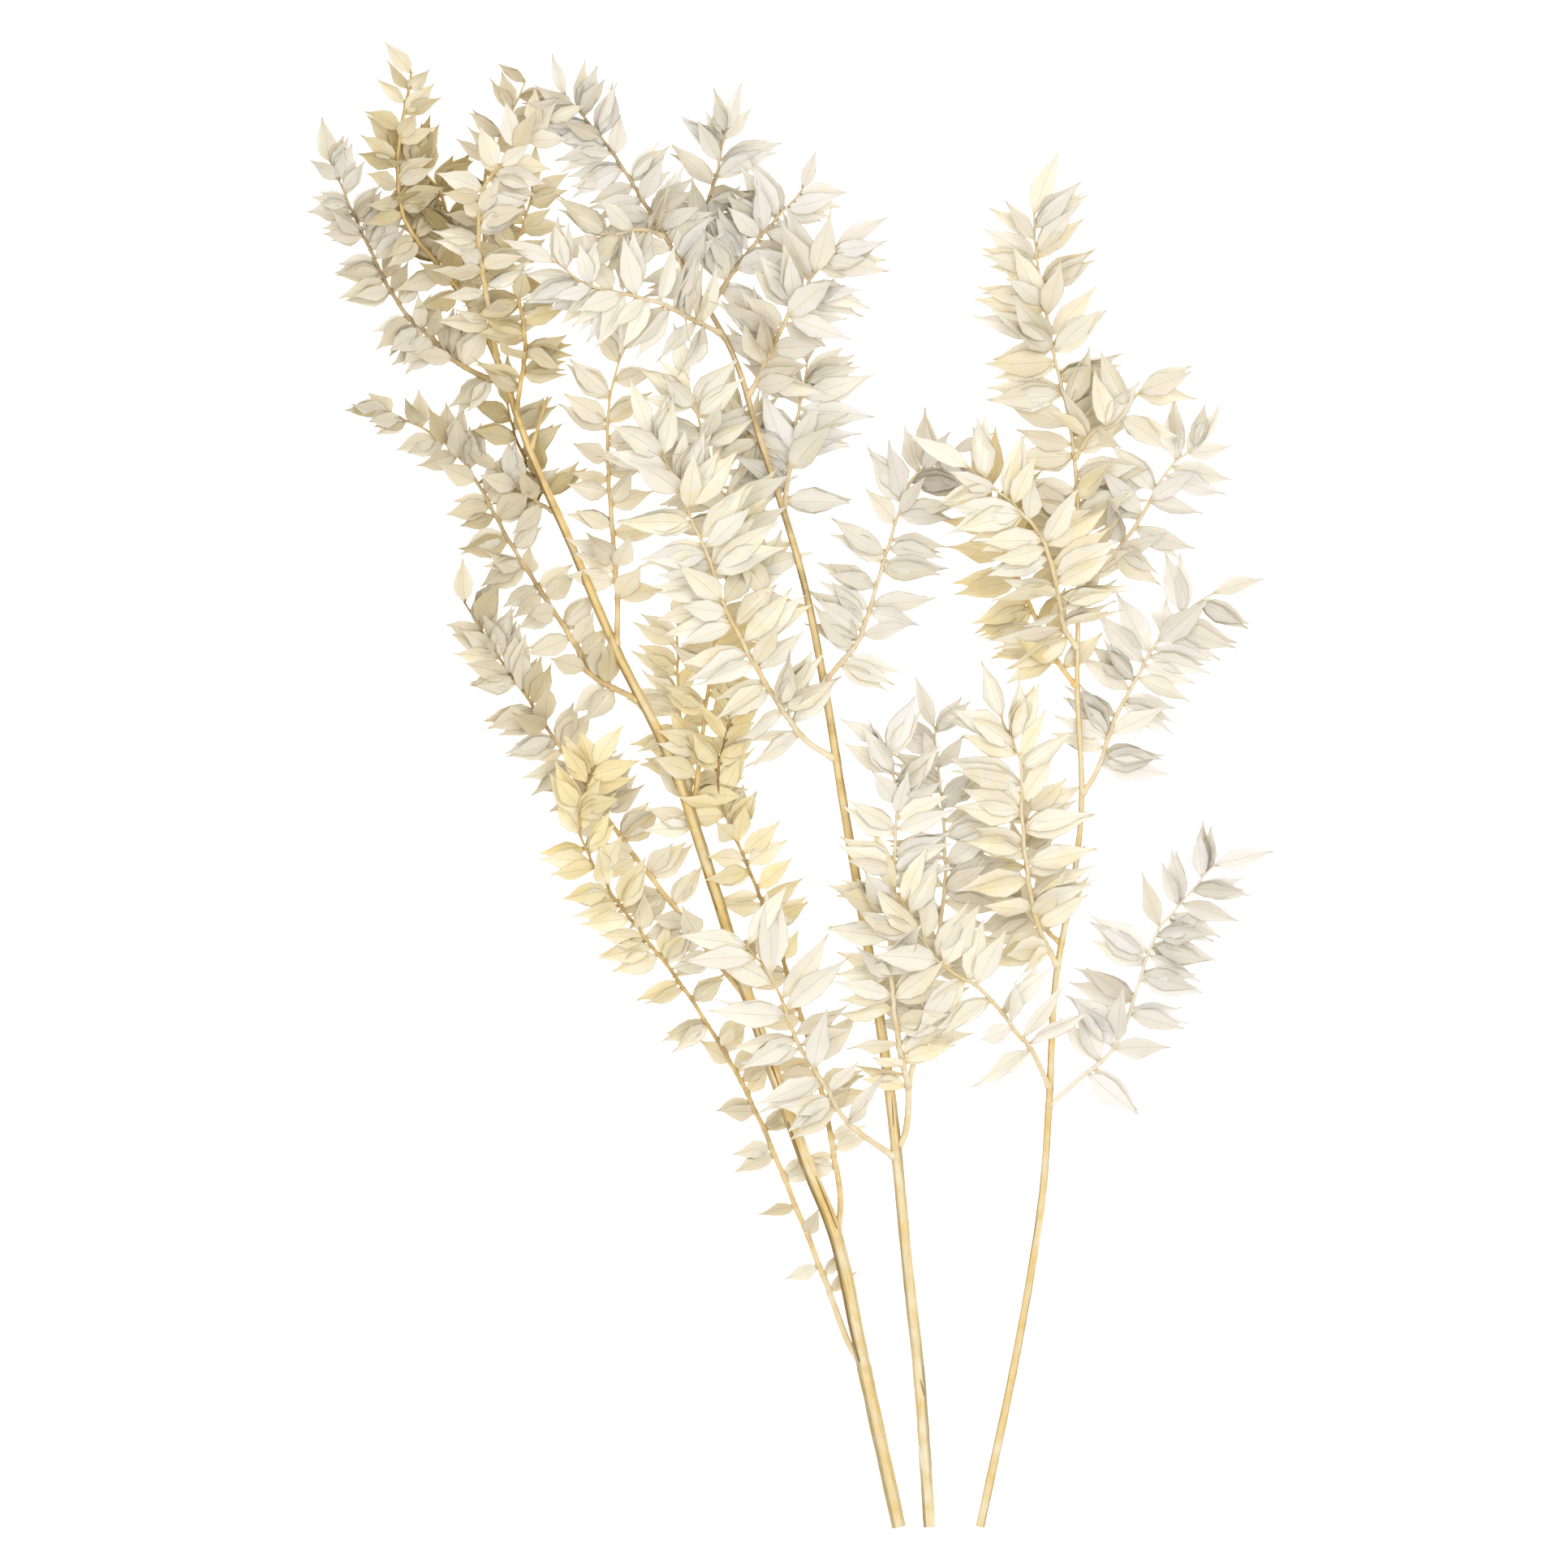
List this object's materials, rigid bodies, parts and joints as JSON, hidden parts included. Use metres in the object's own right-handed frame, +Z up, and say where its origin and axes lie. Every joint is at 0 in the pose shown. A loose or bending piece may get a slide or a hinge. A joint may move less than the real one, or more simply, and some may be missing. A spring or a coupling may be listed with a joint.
{
  "type": "dried ruscus bunch",
  "caption": "Bunch of dried, bleached ruscus branches lying fanned out: slim straw-coloured stems with side shoots of pointed ivory leaves.",
  "frame": {"origin": "centre of the bunch's bounding box in plan, on the surface that it lies on", "axes": "+Y runs along the stems from the cut ends to the tips, +X to the right as seen from above, +Z up from the surface"},
  "size_m": [0.4744, 0.7317, 0.0762],
  "materials": {
    "stem": "dry bleached bark, golden straw, satin",
    "leaf_beige": "dry papery leaf, bleached to beige, matte",
    "leaf_cream": "dry papery leaf, bleached to cream, matte",
    "leaf_grey": "dry papery leaf, bleached to a greyish white, matte"
  },
  "bodies": {
    "root": {"left_stem": "stem", "middle_stem": "stem", "right_stem": "stem", "left_shoot_01": "leaf_beige", "left_shoot_02": "leaf_beige", "left_shoot_03": "leaf_beige", "left_shoot_04": "leaf_beige", "left_shoot_05": "leaf_beige", "left_shoot_06": "leaf_beige", "left_shoot_07": "leaf_cream", "left_shoot_08": "leaf_beige", "left_shoot_09": "leaf_beige", "left_shoot_10": "leaf_grey", "left_shoot_11": "leaf_cream", "left_shoot_12": "leaf_beige", "left_shoot_13": "leaf_beige", "left_shoot_14": "leaf_beige", "middle_shoot_01": "leaf_cream", "middle_shoot_02": "leaf_cream", "middle_shoot_03": "leaf_grey", "middle_shoot_04": "leaf_cream", "middle_shoot_05": "leaf_grey", "middle_shoot_06": "leaf_cream", "middle_shoot_07": "leaf_grey", "middle_shoot_08": "leaf_cream", "middle_shoot_09": "leaf_cream", "middle_shoot_10": "leaf_cream", "middle_shoot_11": "leaf_grey", "middle_shoot_12": "leaf_grey", "middle_shoot_13": "leaf_cream", "right_shoot_01": "leaf_grey", "right_shoot_02": "leaf_cream", "right_shoot_03": "leaf_cream", "right_shoot_04": "leaf_cream", "right_shoot_05": "leaf_grey", "right_shoot_06": "leaf_cream", "right_shoot_07": "leaf_cream", "right_shoot_08": "leaf_grey", "right_shoot_09": "leaf_cream"}
  },
  "joints": []
}
